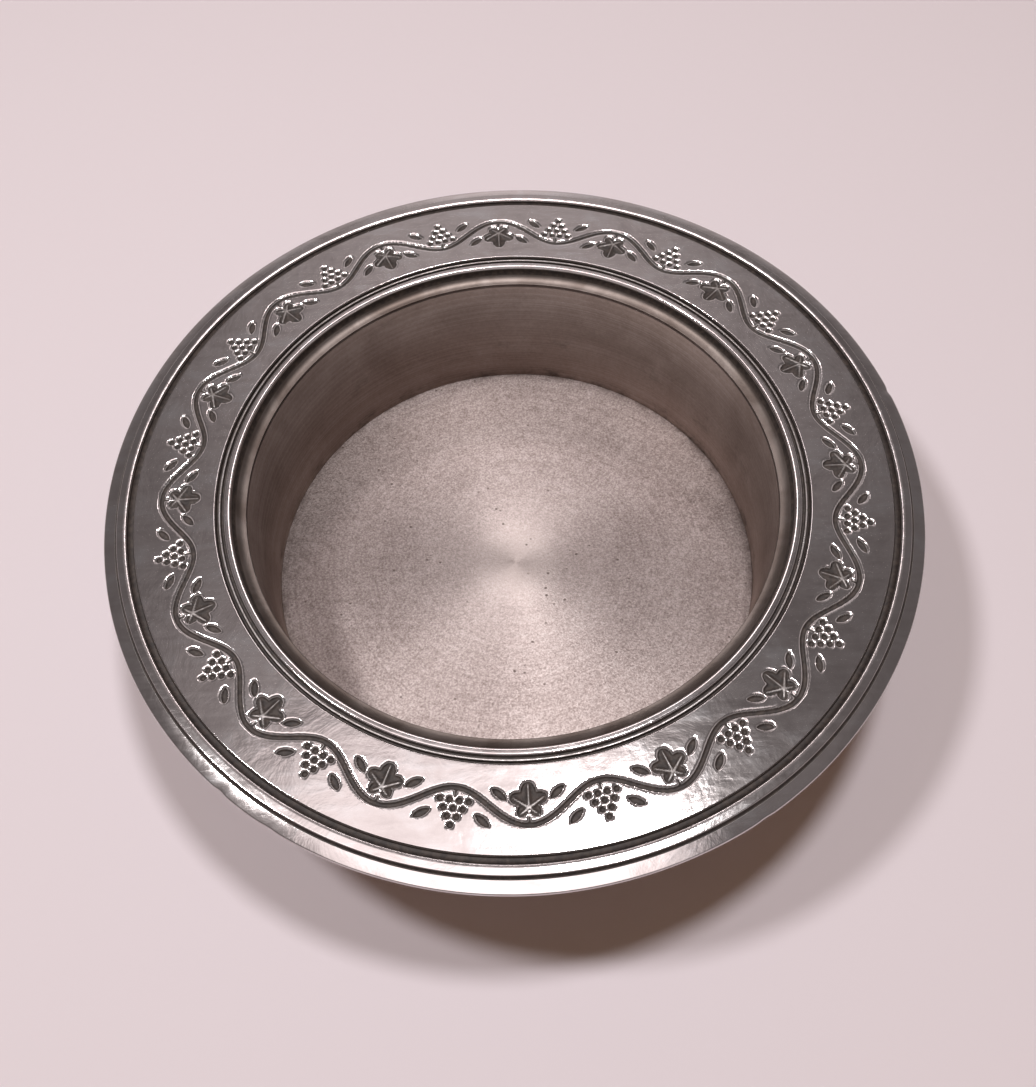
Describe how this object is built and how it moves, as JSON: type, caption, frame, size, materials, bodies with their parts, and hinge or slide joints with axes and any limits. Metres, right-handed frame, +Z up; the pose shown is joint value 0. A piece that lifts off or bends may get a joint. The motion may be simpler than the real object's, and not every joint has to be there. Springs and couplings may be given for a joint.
{
  "type": "wine bottle coaster",
  "caption": "Round pewter-style coaster for a wine bottle: deep turned well with a broad flat rim carrying a recessed vine border.",
  "frame": {"origin": "centre of the underside, on the table", "axes": "+Z up along the axis of the well; a leaf of the vine border lies on +X"},
  "size_m": [0.165, 0.165, 0.0386],
  "materials": {
    "polished_pewter": "hand-rubbed polish with dark patina in the recesses",
    "turned_pewter": "dull turned metal, warm grey-brown patina",
    "satin_pewter": "fine-grained satin with faint turning marks",
    "solder": "dull soft solder",
    "felt": "dense wool felt",
    "adhesive": "thin adhesive film"
  },
  "bodies": {
    "root": {"rim_flange": "polished_pewter", "edge_moulding": "polished_pewter", "bead_ring": "polished_pewter", "cup_wall": "turned_pewter", "floor_plate": "satin_pewter", "foot_ring": "turned_pewter", "felt_pad": "felt", "felt_adhesive": "adhesive", "edge_solder_seam": "solder", "flange_solder_fillet": "solder", "wall_solder_fillet": "solder", "floor_solder_seam": "solder", "foot_solder_fillet": "solder"}
  },
  "joints": []
}
